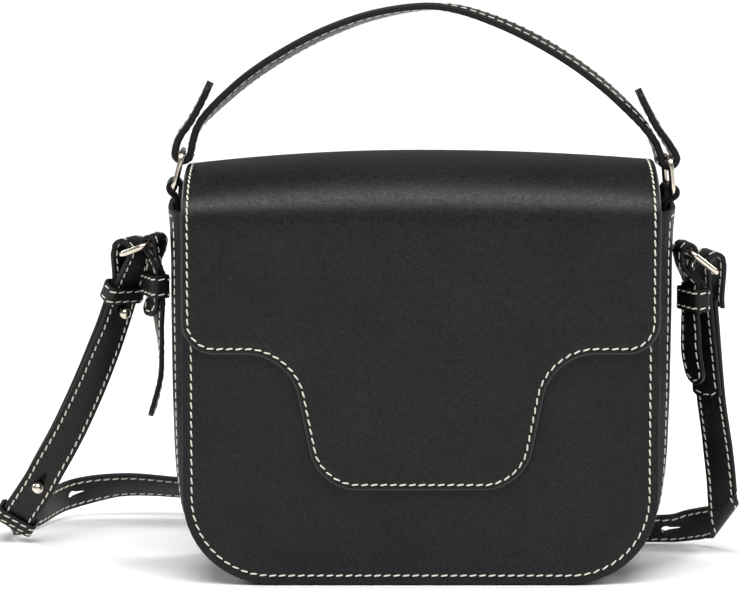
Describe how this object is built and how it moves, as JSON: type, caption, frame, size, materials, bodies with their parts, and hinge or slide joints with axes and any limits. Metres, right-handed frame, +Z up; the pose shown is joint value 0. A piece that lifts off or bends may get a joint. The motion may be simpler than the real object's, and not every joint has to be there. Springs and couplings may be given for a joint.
{
  "type": "leather flap handbag",
  "caption": "Small upright leather handbag with a tongue-shaped front flap, an arched top handle on wire rings and a long adjustable shoulder strap, for carrying small things.",
  "frame": {"origin": "centre of the base, on the surface that the bag stands on", "axes": "+Z up, front of the bag towards -Y, +X to the right as seen from the front"},
  "size_m": [0.3312, 0.1599, 0.2483],
  "materials": {
    "leather_black": "smooth satin",
    "metal_pale_gold": "polished",
    "thread_cream": "thick twisted thread"
  },
  "bodies": {
    "root": {"front_panel": "leather_black", "back_panel": "leather_black", "gusset": "leather_black", "flap": "leather_black", "handle": "leather_black", "ring_tab_left": "leather_black", "ring_tab_right": "leather_black", "side_tab_left": "leather_black", "side_tab_right": "leather_black", "side_keeper_left": "leather_black", "side_keeper_right": "leather_black", "strap": "leather_black", "strap_keeper_upper": "leather_black", "strap_keeper_lower": "leather_black", "strap_chape": "leather_black", "handle_ring_left": "metal_pale_gold", "handle_ring_right": "metal_pale_gold", "strap_ring_left": "metal_pale_gold", "strap_ring_right": "metal_pale_gold", "stud_upper": "metal_pale_gold", "stud_lower": "metal_pale_gold"}
  },
  "joints": []
}
